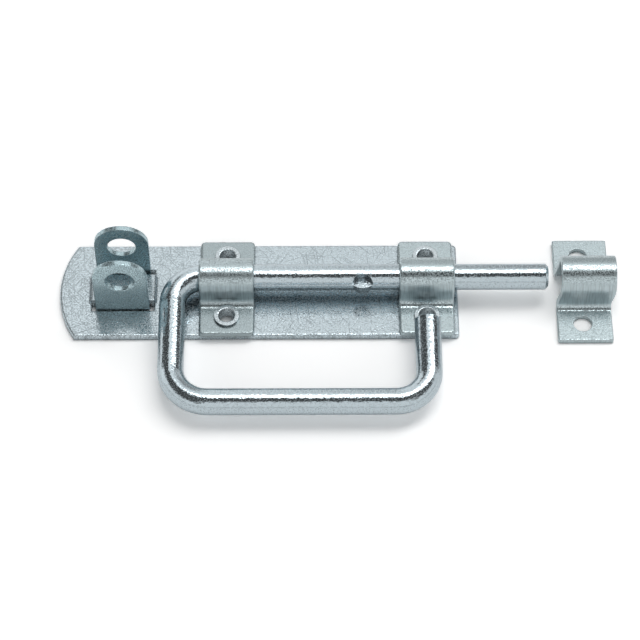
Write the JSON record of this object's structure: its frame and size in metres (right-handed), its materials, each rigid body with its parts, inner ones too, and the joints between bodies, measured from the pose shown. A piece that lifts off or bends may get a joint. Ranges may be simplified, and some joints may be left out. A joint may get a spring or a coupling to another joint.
{
  "type": "sliding bolt",
  "caption": "Bow handle sliding bolt on a long back plate, with a padlock staple and a separate keeper strap.",
  "frame": {"origin": "middle of the four screw eyelets, on the plate's mounting face", "axes": "+X along the bar towards the keeper, +Y to the back, +Z out of the mounting face"},
  "size_m": [0.254, 0.0998, 0.0378],
  "materials": {
    "zinc_sheet": "bright blue zinc plate with fine scratches and faint streaks",
    "zinc_bar": "bright blue zinc plate on drawn round bar, with lengthwise streaks",
    "zinc_eyelet": "bright zinc plate, rolled smooth"
  },
  "bodies": {
    "mounting": {"back_plate": "zinc_sheet", "hasp_staple": "zinc_sheet", "rear_strap": "zinc_sheet", "front_strap": "zinc_sheet", "keeper_strap": "zinc_sheet", "rear_upper_eyelet": "zinc_eyelet", "rear_lower_eyelet": "zinc_eyelet", "front_upper_eyelet": "zinc_eyelet", "front_lower_eyelet": "zinc_eyelet"},
    "bolt": {"bolt_bar": "zinc_bar"}
  },
  "joints": [
    {"name": "bow_swing", "type": "hinge", "parent": "mounting", "child": "bolt", "pos_m": [0, 0, 0.0128], "axis": [-1, 0, 0], "range_deg": [0, 184.9]}
  ]
}
